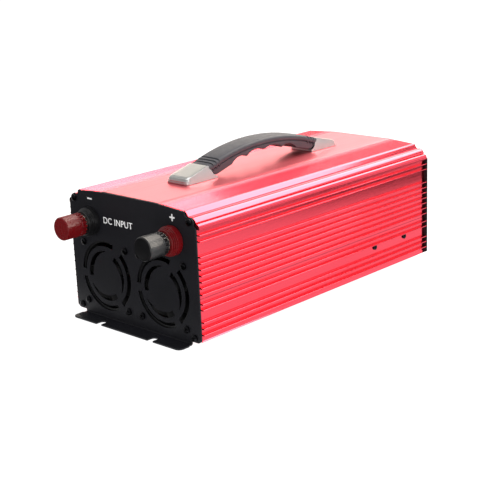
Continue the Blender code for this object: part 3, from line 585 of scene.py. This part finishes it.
def crossHead(radius, height, crown, shank, length):  # one screw as a mesh, standing on z = 0
    shape = bmesh.new()
    profile = [(0.0, height), (radius * 0.45, height - crown * 0.18), (radius * 0.78, height - crown * 0.6)]
    profile += [(radius, height - crown * 1.6), (radius, 0.2)]
    profile += [(shank, 0.2), (shank, -length), (0.0, -length)]
    turned(shape, profile, Vector((0, 0, 0)), Vector((0, 0, 1)), 40)
    head = bpy.data.meshes.new("head")
    bmesh.ops.recalc_face_normals(shape, faces=shape.faces)
    shape.to_mesh(head)
    shape.free()
    cutter = bmesh.new()
    arm, reach = screw["armHalf"], screw["armReach"]
    corners = [(reach, -arm), (reach, arm), (arm, arm), (arm, reach), (-arm, reach), (-arm, arm)]
    corners += [(-u, -v) for u, v in corners]
    addOutline(cutter, corners, lambda u, v: (u, v, (height + 0.3) * mm))
    pushOut(cutter, list(cutter.faces), (0, 0, -(screw["recess"] + 0.3) * mm))
    deep = [vert for vert in cutter.verts if vert.co.z < height * mm]
    bmesh.ops.scale(cutter, vec=(screw["recessTaper"], screw["recessTaper"], 1.0), verts=deep)
    bmesh.ops.recalc_face_normals(cutter, faces=cutter.faces)
    recess = bpy.data.meshes.new("recess")
    cutter.to_mesh(recess)
    cutter.free()
    whole = bpy.data.objects.new("head", head)
    tool = bpy.data.objects.new("recess", recess)
    for item in (whole, tool):
        bpy.context.scene.collection.objects.link(item)
    cutting = whole.modifiers.new("recess", "BOOLEAN")
    cutting.operation = "DIFFERENCE"
    cutting.object = tool
    graph = bpy.context.evaluated_depsgraph_get()
    made = bpy.data.meshes.new_from_object(whole.evaluated_get(graph))
    for item in (whole, tool):
        bpy.data.objects.remove(item, do_unlink=True)
    return made


def placeScrew(head, node, outward, place):
    shape = bmesh.new()
    shape.from_mesh(head)
    spin = Matrix.Rotation(random.uniform(0, math.pi / 2), 4, "Z")
    aim = outward.to_track_quat("Z", "Y").to_matrix().to_4x4()
    bmesh.ops.transform(shape, matrix=Matrix.Translation(place) @ aim @ spin, verts=shape.verts)
    name = node.replace("screw", "cross_screw")
    newPiece(shape, name, blackZinc, "inverter", [node], 32)


panHead = crossHead(radius=3.4, height=2.3, crown=0.55, shank=1.7, length=11.0)
flatHead = crossHead(radius=2.7, height=1.7, crown=0.35, shank=1.8, length=8.0)
for node in sorted(nodes):
    if node.startswith(("front_screw", "fan_screw", "rear_screw")):
        place = middle(node)
        outward = Vector((0, 1 if node.startswith("rear") else -1, 0))
        place.y = rearFace if outward.y > 0 else frontFace
        placeScrew(panHead, node, outward, place)
    if node.startswith("side_screw"):
        place = middle(node)
        outward = Vector((math.copysign(1, place.x), 0, 0))
        place.x = outward.x * housing["sideX"] * mm
        place.z += screw["sideRise"] * mm  # up to the fin that hides half of it
        placeScrew(flatHead, node, outward, place)
print("screws made")


# Fans: a cupped hub with swept, twisted blades.

rotor = {
    "blades": 7, "hub": 16.2, "reach": 32.0, "front": 1.5, "back": 21.0,
    "sweep": 20.0, "chord": 32.0, "camber": 6.0, "thick": 1.2,
}


def fanRotor(name, node):
    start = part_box(node)[0].y - rotor["front"] * mm
    place = Vector((math.copysign(fan["x"] * mm, middle(node).x), start, fan["z"] * mm))
    shape = bmesh.new()
    profile = [(0.0, 1.5), (6.0, 1.5), (6.3, 1.9), (13.8, 1.9), (15.2, 2.2), (16.2, 3.6)]
    profile += [(16.2, 21.0), (0.0, 21.0)]
    turned(shape, profile, place, Vector((0, 1, 0)), 64)
    for index in range(rotor["blades"]):
        blade = bmesh.new()
        bmesh.ops.create_grid(blade, x_segments=8, y_segments=10, size=0.5)
        for vert in blade.verts:
            out, back = vert.co.x + 0.5, vert.co.y + 0.5
            radius = (rotor["hub"] - 0.6 + (rotor["reach"] - rotor["hub"] + 0.6) * out) * mm
            turn = 360 * index / rotor["blades"] + rotor["sweep"] * out + rotor["chord"] * back
            angle = math.radians(turn + rotor["camber"] * math.sin(math.pi * back))
            depth = rotor["front"] + 1.6 + (rotor["back"] - rotor["front"] - 3.2) * back
            vert.co = place + Vector((radius * math.cos(angle), depth * mm, radius * math.sin(angle)))
        bmesh.ops.recalc_face_normals(blade, faces=blade.faces)
        bmesh.ops.solidify(blade, geom=list(blade.faces), thickness=rotor["thick"] * mm)
        scratch = bpy.data.meshes.new("blade")
        blade.to_mesh(scratch)
        blade.free()
        shape.from_mesh(scratch)
    newPiece(shape, name, dullBlack, node, [node])


fanRotor("fan_impeller_left", "fan_rotor_left")
fanRotor("fan_impeller_right", "fan_rotor_right")
print("fans made")


# Battery terminals.

terminal = {"end": 36.5, "body": 11.3, "flutes": 64, "fluteDepth": 0.16, "teeth": 18}


def terminalBase(name, node, side, material, slotName):
    profile = [(4.2, 11.2), (11.4, 11.2), (11.8, 10.9), (11.8, 10.2), (11.1, 9.9), (11.1, 9.6), (12.5, 9.3)]
    profile += [(12.5, 8.6), (11.8, 8.3), (11.8, 8.0), (13.2, 7.7), (13.2, 7.0), (12.6, 6.7)]
    profile += [(12.6, 6.4), (14.0, 6.0), (14.0, 0.3), (8.0, 0.3), (8.0, -3.6), (4.2, -3.6), (4.2, 11.2)]
    shape = bmesh.new()
    turned(shape, profile, terminalPlace(side), Vector((0, -1, 0)), 72)
    soften(shape, 0.16, 2, 35)
    newPiece(shape, name, material, "inverter", [node])


def terminalPlace(side):
    return Vector((side * plate["terminalX"] * mm, frontFace, plate["terminalZ"] * mm))


def terminalKnob(name, node, side, material, slotName):
    end = terminal["end"]
    body = terminal["body"]
    profile = [(0.0, end - 0.35), (7.5, end - 0.3), (8.6, end), (body - 0.9, end), (body, end - 0.9)]
    profile += [(body, 20.4), (body - 0.5, 19.9), (body - 0.9, 19.5), (body - 0.9, 18.6)]
    profile += [(body - 0.7, 18.2), (10.4, 18.1)]
    profile += [(10.4, 13.5), (4.1, 13.2), (4.1, 31.0), (0.0, 31.0)]
    centre = terminalPlace(side)
    shape = bmesh.new()
    turned(shape, profile, centre, Vector((0, -1, 0)), terminal["flutes"] * 2)
    for vert in shape.verts:
        out = Vector((vert.co.x - centre.x, 0.0, vert.co.z - centre.z))
        along = (centre.y - vert.co.y) / mm
        turnPart = math.atan2(out.z, out.x) / (2 * math.pi)
        onSide = out.length > (body - 0.05) * mm and 20.3 < along < end - 0.5
        if onSide and round(turnPart * terminal["flutes"] * 2) % 2:
            vert.co -= out.normalized() * terminal["fluteDepth"] * mm
        if abs(out.length - 10.4 * mm) < 0.05 * mm and 13.4 < along < 18.2:
            tooth = math.cos(turnPart * 2 * math.pi * terminal["teeth"])
            vert.co += out.normalized() * 0.8 * mm * max(-1.0, min(1.0, tooth * 2.5))
    newPiece(shape, name, material, node, [node], 24)


def terminalStud(name, node, side):  # a thread of 1.25 mm pitch outside, a hexagon nut's shoulder inside
    profile = [(0.0, 30.0), (3.0, 30.0), (3.3, 29.6)]
    for index in range(24):
        along = 29.2 - 1.25 * index
        profile += [(3.9, along), (3.3, along - 0.625)]
    profile += [(3.9, -4.0), (6.5, -4.0), (6.5, -8.5), (3.9, -8.5), (3.9, -18.0), (0.0, -18.0)]
    shape = bmesh.new()
    turned(shape, profile, terminalPlace(side), Vector((0, -1, 0)), 48)
    newPiece(shape, name, nickel, "inverter", [node])


def terminalWasher(name, node, side):
    shape = bmesh.new()
    profile = [(4.2, 12.8), (9.6, 12.8), (9.6, 11.6), (4.2, 11.6), (4.2, 12.8)]
    turned(shape, profile, terminalPlace(side), Vector((0, -1, 0)), 72)
    soften(shape, 0.18, 2, 50)
    newPiece(shape, name, nickel, node, [node])


for sign, side, baseMaterial, knobMaterial in (
    ("negative", -1, (glossBlack, "black_plastic"), (glossRed, "red_plastic")),
    ("positive", 1, (glossRed, "red_plastic"), (glossBlack, "black_plastic")),
):
    terminalBase(sign + "_terminal_base", sign + "_base", side, *baseMaterial)
    terminalKnob(sign + "_terminal_knob", sign + "_knob", side, *knobMaterial)
    terminalStud(sign + "_threaded_stud", sign + "_stud", side)
    terminalWasher(sign + "_flat_washer", sign + "_washer", side)
print("terminals made")


# Carrying handle. Distances along the handle are from the front face.

handle = {
    "middle": 175.1, "peak": 155.6, "ends": 82.3, "endHeight": 141.6, "half": 13.2, "seam": 5.6,
    "tips": ((126.4, 136.9), (148.6, 141.2), (175.1, 143.2)), "scallop": 3.9,
    "grooves": (98.4, 102.9, 107.4), "grooveHalf": 1.2, "grooveDepth": 1.3, "step": 1.6,
    "bracketHalf": 13.3, "bracketCorner": 4.0, "bracketDraft": 0.012,
}
heel = (
    (98.0, 136.2), (99.4, 133.7), (101.6, 132.2), (104.2, 131.2), (107.0, 131.6), (112.0, 133.0),
    (126.4, 136.9),
)
bracketSide = (
    (61.4, 128.6), (61.2, 130.2, 0.2), (62.0, 130.4, 0.1), (61.9, 131.9, 0.2), (62.7, 132.1, 0.1),
    (63.1, 133.8, 0.5), (66.4, 135.4, 1.2), (93.0, 142.0, 0.4), (94.0, 141.6, 0.3), (97.2, 136.2, 0.8),
    (99.0, 133.0, 0.8), (102.0, 131.2, 0.6), (104.0, 130.6), (104.0, 128.6),
)


def between(points, along):  # straight interpolation in a list of (distance, height)
    for (firstY, firstZ), (lastY, lastZ) in zip(points, points[1:]):
        if along <= lastY:
            return firstZ + (lastZ - firstZ) * max(0.0, along - firstY) / (lastY - firstY)
    return points[-1][1]


def gripTop(along):
    away = abs(along - handle["middle"])
    height = handle["peak"] - (handle["peak"] - handle["endHeight"]) * (away / handle["ends"]) ** 2
    near = handle["middle"] - away
    inGroove = any(abs(near - groove) < handle["grooveHalf"] * 0.6 for groove in handle["grooves"])
    return height - (handle["grooveDepth"] if inGroove else 0.0)


def gripUnder(along):
    near = handle["middle"] - abs(along - handle["middle"])
    if near < handle["tips"][0][0]:
        return between(heel, near)
    for (firstY, firstZ), (lastY, lastZ) in zip(handle["tips"], handle["tips"][1:]):
        if near <= lastY:
            part = (near - firstY) / (lastY - firstY)
            return firstZ + (lastZ - firstZ) * part + handle["scallop"] * math.sin(math.pi * part) ** 0.7
    return handle["tips"][-1][1]


def gripStations():
    start = handle["middle"] - handle["ends"]
    count = round(2 * handle["ends"] / handle["step"])
    stations = {start + 2 * handle["ends"] * index / count for index in range(count + 1)}
    for groove in handle["grooves"]:
        for part in (-1.0, -0.55, 0.55, 1.0):
            offset = handle["grooveHalf"] * part
            stations |= {groove + offset, 2 * handle["middle"] - groove - offset}
    return sorted(stations)


def gripRing():  # (half width, height above the underside, depth below the top); one of the two is None
    half = handle["half"]
    seam = handle["seam"]
    right = [(0.0, 0.0, None), (half - 2.6, 0.0, None), (half - 1.5, 0.15, None), (half - 0.7, 0.6, None)]
    right += [(half - 0.4, 1.4, None), (half - 0.5, None, seam + 1.0), (half - 1.6, None, seam + 0.8)]
    right += [(half - 1.6, None, seam - 0.1), (half - 0.3, None, seam - 0.45), (half, None, seam - 1.2)]
    right += [(half, None, 2.6), (half - 0.45, None, 1.3), (half - 1.5, None, 0.4), (half - 3.2, None, 0.0)]
    right += [(0.0, None, -0.25)]
    return right + [(-item[0], item[1], item[2]) for item in reversed(right[1:-1])]


def handleGrip():
    stations, ring = gripStations(), gripRing()
    shape = bmesh.new()
    bmesh.ops.create_grid(shape, x_segments=len(stations) - 1, y_segments=len(ring), size=0.5)
    for vert in shape.verts:
        along = stations[round((vert.co.x + 0.5) * (len(stations) - 1))]
        across, up, down = ring[round((vert.co.y + 0.5) * len(ring)) % len(ring)]
        near = handle["middle"] - abs(along - handle["middle"])
        lag = max(0.0, 3.7 * (125.0 - near) / (125.0 - 94.3))
        under = along + math.copysign(lag, handle["middle"] - along)
        top, bottom = gripTop(along), gripUnder(under)
        height = min(bottom + up, top - 0.3) if down is None else max(top - down, bottom + 2.3 - down * 0.1)
        share = (height - bottom) / (top - bottom)
        vert.co = (across * mm, frontFace + (under + (along - under) * share) * mm, height * mm)
    bmesh.ops.remove_doubles(shape, verts=shape.verts, dist=0.002 * mm)
    edges = [edge for edge in shape.edges if edge.is_boundary]
    bmesh.ops.holes_fill(shape, edges=edges)
    newPiece(shape, "handle_soft_grip", gripPlastic, "inverter", ["handle_grip"], 40)


def handleBracket(name, node, fromFront):
    def place(u, v):
        along = u if fromFront else 2 * handle["middle"] * mm - u
        return (-handle["bracketHalf"] * mm, frontFace + along, v)
    shape = bmesh.new()
    addOutline(shape, bracketSide, place)
    pushOut(shape, list(shape.faces), (2 * handle["bracketHalf"] * mm, 0.0, 0.0))
    half, corner = handle["bracketHalf"], handle["bracketCorner"]
    for side in (-1, 1):
        for angle in range(0, 90, 15):
            across = side * (half - corner + corner * math.sin(math.radians(angle)))
            cutAcross(shape, (across * mm, 0.0, 0.0), (1.0, 0.0, 0.0))
    for vert in shape.verts:
        beyond = max(0.0, abs(vert.co.x) / mm - (half - corner))
        back = corner - math.sqrt(max(0.0, corner ** 2 - beyond ** 2))
        along = (vert.co.y - frontFace) / mm
        near = along if fromFront else 2 * handle["middle"] - along
        back *= max(0.0, 1.0 - max(0.0, near - 61.0) / 16.0)
        vert.co.y += math.copysign(back * mm, 1 if fromFront else -1)
        vert.co.x *= 1.0 + handle["bracketDraft"] * (136.0 - vert.co.z / mm)
    bmesh.ops.recalc_face_normals(shape, faces=shape.faces)
    soften(shape, 0.4, 2, 55)
    newPiece(shape, name, satinZinc, "inverter", [node], 30)


handleGrip()
handleBracket("handle_metal_foot_front", "handle_bracket_front", True)
handleBracket("handle_metal_foot_rear", "handle_bracket_rear", False)
print("handle made")


# Blocky parts keep the frame's shape, with their edges rounded.

rounded = {
    "outlet_left": ("outlet_socket_left", glossBlack, "black_plastic", 0.5),
    "outlet_right": ("outlet_socket_right", glossBlack, "black_plastic", 0.5),
    "switch_frame": ("switch_bezel", glossBlack, "black_plastic", 0.4),
    "switch_rocker": ("switch_paddle", glossBlack, "black_plastic", 0.5),
    "transformer_core_1": ("transformer_ferrite_1", ferrite, "ferrite", 0.6),
    "transformer_core_2": ("transformer_ferrite_2", ferrite, "ferrite", 0.6),
    "transformer_winding_1": ("transformer_coil_1", copperWire, "copper", 1.5),
    "transformer_winding_2": ("transformer_coil_2", copperWire, "copper", 1.5),
}


def roundedCopy(node, name, material, slotName, width):
    shape = bmesh.new()
    shape.from_mesh(nodes[node].data)
    bmesh.ops.remove_doubles(shape, verts=shape.verts, dist=0.002 * mm)
    bmesh.ops.dissolve_limit(shape, angle_limit=math.radians(1), verts=shape.verts, edges=shape.edges,
                             use_dissolve_boundaries=False, delimit=set())
    bmesh.ops.recalc_face_normals(shape, faces=shape.faces)
    soften(shape, width, 3, 50)
    body = "switch_rocker" if node == "switch_rocker" else "inverter"
    newPiece(shape, name, material, body, [node])


for node, settings in rounded.items():
    roundedCopy(node, *settings)


def lamp(name, node, material):
    place = middle(node)
    place.y = rearFace
    shape = bmesh.new()
    profile = [(0.0, -6.0), (2.5, -6.0), (2.5, 0.3)]
    for step in range(1, 8):
        angle = math.pi / 16 * step
        profile.append((2.5 * math.cos(angle), 0.3 + 2.0 * math.sin(angle)))
    profile.append((0.0, 2.3))
    turned(shape, profile, place, Vector((0, 1, 0)), 40)
    newPiece(shape, name, material, "inverter", [node])


lamp("power_lamp_lens", "power_lamp", greenLens)
lamp("fault_lamp_lens", "fault_lamp", redLens)
print("rear fittings made")


# Printed marks: signs of the terminals and a plain note of what they are for.

marks = {
    "thick": 0.08, "bar": (6.6, 1.5), "minus": (-56.5, 119.3), "plus": (58.2, 118.1),
    "note": "DC INPUT", "noteSize": 8.8, "noteX": -38.5, "noteZ": 98.0,
}


def printedPlace(x, z):  # on the front plate, half the ink's thickness out
    return Vector((x * mm, frontFace - marks["thick"] / 2 * mm, z * mm))


def printedBars(name, bars):
    shape = bmesh.new()
    for x, z, width, height in bars:
        size = Matrix.Diagonal((width * mm, marks["thick"] * mm, height * mm, 1.0))
        bmesh.ops.create_cube(shape, size=1.0, matrix=Matrix.Translation(printedPlace(x, z)) @ size)
    newPiece(shape, name, ink, "inverter", [])


def printedNote():
    curve = bpy.data.curves.new("note", "FONT")
    curve.body = marks["note"]
    curve.size = marks["noteSize"] * mm
    curve.extrude = marks["thick"] / 2 * mm
    curve.offset = 0.05 * mm
    curve.space_character = 1.05
    text = bpy.data.objects.new("note", curve)
    bpy.context.scene.collection.objects.link(text)
    graph = bpy.context.evaluated_depsgraph_get()
    flat = bpy.data.meshes.new_from_object(text.evaluated_get(graph))
    bpy.data.objects.remove(text, do_unlink=True)
    shape = bmesh.new()
    shape.from_mesh(flat)
    place = printedPlace(marks["noteX"], marks["noteZ"])
    upright = Matrix.Translation(place) @ Matrix.Rotation(math.pi / 2, 4, "X")
    bmesh.ops.transform(shape, matrix=upright, verts=shape.verts)
    newPiece(shape, "printed_note", ink, "inverter", [])


long, thick = marks["bar"]
printedBars("printed_minus", [(*marks["minus"], long, thick)])
x, z = marks["plus"]
arm = (long - thick) / 2
offset = (long + thick) / 4
printedBars("printed_plus", [(x, z, long, thick), (x, z + offset, thick, arm), (x, z - offset, thick, arm)])
printedNote()
print("marks made")


# What is left of the frame's own nodes gets its finish.

finishes = {
    "fan_frame": (dullBlack, "black_plastic"),
    "main_board": (solderGreen, "green_board"),
    "control_board": (solderGreen, "green_board"),
    "input_capacitor": (sleeve, "capacitor_sleeve"),
    "bulk_capacitor": (sleeve, "capacitor_sleeve"),
    "output_inductor": (copperWire, "copper"),
    "transistor_bank": (satinZinc, "satin_zinc"),
    "negative_bus_bar": (copperBar, "copper"),
    "positive_bus_bar": (copperBar, "copper"),
}
for node, item in nodes.items():
    for start, (material, slotName) in finishes.items():
        if node.startswith(start):
            item.data.materials.clear()
            item.data.materials.append(material)


# Studio: a white floor, soft boxes, and cards that only reflections see.


def emitter(name, colour, strength):
    made = bpy.data.materials.new(name)
    made.use_nodes = True
    tree = made.node_tree
    tree.nodes.clear()
    light = addNode(tree, "ShaderNodeEmission", {"Color": linearColour(colour), "Strength": strength})
    addNode(tree, "ShaderNodeOutputMaterial", {}, {"Surface": light.outputs[0]})
    return made


def floor():
    made = bpy.data.materials.new("studio_floor_white")
    made.use_nodes = True
    shader = made.node_tree.nodes["Principled BSDF"]
    shader.inputs["Base Color"].default_value = linearColour("808080")
    shader.inputs["Roughness"].default_value = 0.9
    shader.inputs["Specular IOR Level"].default_value = 0.0
    shader.inputs["Emission Color"].default_value = linearColour("ffffff")
    shader.inputs["Emission Strength"].default_value = 1.0
    shape = bmesh.new()
    bmesh.ops.create_grid(shape, x_segments=1, y_segments=1, size=6.0)
    mesh = bpy.data.meshes.new("floor")
    shape.to_mesh(mesh)
    shape.free()
    mesh.materials.append(made)
    ground = bpy.data.objects.new("floor", mesh)
    bpy.context.scene.collection.objects.link(ground)


def board(name, centre, along, up, size, material):  # a flat board, seen only in glossy reflections
    along = Vector(along).normalized()
    up = Vector(up).normalized()
    shape = bmesh.new()
    bmesh.ops.create_grid(shape, x_segments=1, y_segments=1, size=0.5)
    mesh = bpy.data.meshes.new(name)
    for vert in shape.verts:
        vert.co = Vector(centre) + along * size[0] * vert.co.x + up * size[1] * vert.co.y
    shape.to_mesh(mesh)
    shape.free()
    mesh.materials.append(material)
    made = bpy.data.objects.new(name, mesh)
    bpy.context.scene.collection.objects.link(made)
    for kind in ("camera", "diffuse", "shadow", "transmission", "volume_scatter"):
        setattr(made, "visible_" + kind, False)


def fadingCard():  # dark at the far end, paler towards the near one
    made = emitter("fading_card", "ffffff", 1.0)
    tree = made.node_tree
    coords = addNode(tree, "ShaderNodeTexCoord", {})
    split = addNode(tree, "ShaderNodeSeparateXYZ", {}, {0: coords.outputs["Object"]})
    span = {"From Min": 0.12, "From Max": 0.36, "To Min": 0.6, "To Max": 0.0}
    fade = addNode(tree, "ShaderNodeMapRange", span, {"Value": split.outputs["Y"]})
    tree.links.new(fade.outputs[0], tree.nodes["Emission"].inputs["Strength"])
    return made


def softbox(name, centre, aim, size, radiance, colour="ffffff"):
    data = bpy.data.lights.new(name, "AREA")
    data.shape = "RECTANGLE"
    data.size, data.size_y = size
    data.energy = radiance * math.pi * size[0] * size[1]
    data.color = linearColour(colour)[:3]
    light = bpy.data.objects.new(name, data)
    bpy.context.scene.collection.objects.link(light)
    turn = (Vector(centre) - Vector(aim)).to_track_quat("Z", "Y").to_matrix().to_4x4()
    light.matrix_world = Matrix.Translation(centre) @ turn
    light.visible_camera = False


def world():
    made = bpy.data.worlds.new("studio")
    made.use_nodes = True
    tree = made.node_tree
    seen = addNode(tree, "ShaderNodeLightPath", {})
    # full white behind the part, dimmer as light on it
    glow = {"From Min": 0.0, "From Max": 1.0, "To Min": 0.45, "To Max": 1.0}
    strength = addNode(tree, "ShaderNodeMapRange", glow, {"Value": seen.outputs["Is Camera Ray"]})
    tree.nodes["Background"].inputs["Color"].default_value = linearColour("ffffff")
    tree.links.new(strength.outputs[0], tree.nodes["Background"].inputs["Strength"])
    bpy.context.scene.world = made
    bpy.context.scene.view_settings.view_transform = "Standard"


floor()
world()
softbox("overhead", (-0.1, 0.1, 1.5), (0, 0, 0), (1.2, 1.0), 2.0)
softbox("back_left_low", (-1.45, 1.75, 0.44), (0, 0, 0.1), (2.8, 0.36), 0.5, "fff0dc")
softbox("back_left_middle", (-1.4, 1.7, 0.82), (0, 0, 0.1), (2.6, 0.28), 3.4, "fff4e8")
softbox("back_left_strip", (-1.35, 1.65, 1.12), (0, 0, 0.1), (2.4, 0.36), 2.0, "fff0dc")
softbox("back_right", (1.25, 1.75, 0.75), (0, 0, 0.1), (2.6, 0.9), 0.85)
softbox("back_high", (0.28, 1.0, 1.12), (0, 0, 0.1), (1.6, 0.64), 8.0, "fff6ea")
softbox("right_fill", (1.7, -0.5, 0.9), (0, 0, 0.1), (1.2, 1.0), 2.5)
black = emitter("black_card", "000000", 0.0)
white = emitter("floor_card", "ffffff", 1.08)
board("reflected_floor", (1.0, 0.8, 0.001), (1, 0, 0), (0, 1, 0), (1.8, 2.4), white)
board("flag_right", (0.322, 0.62, 0.002), (1.0, 0.07, 0.0), (-0.07, 1.0, 0.0), (0.064, 1.1), fadingCard())
board("flag_front_left", (-0.85, -1.19, 0.003), (1, 0, 0), (0, 1, 0), (2.3, 2.0), black)
print("studio made")
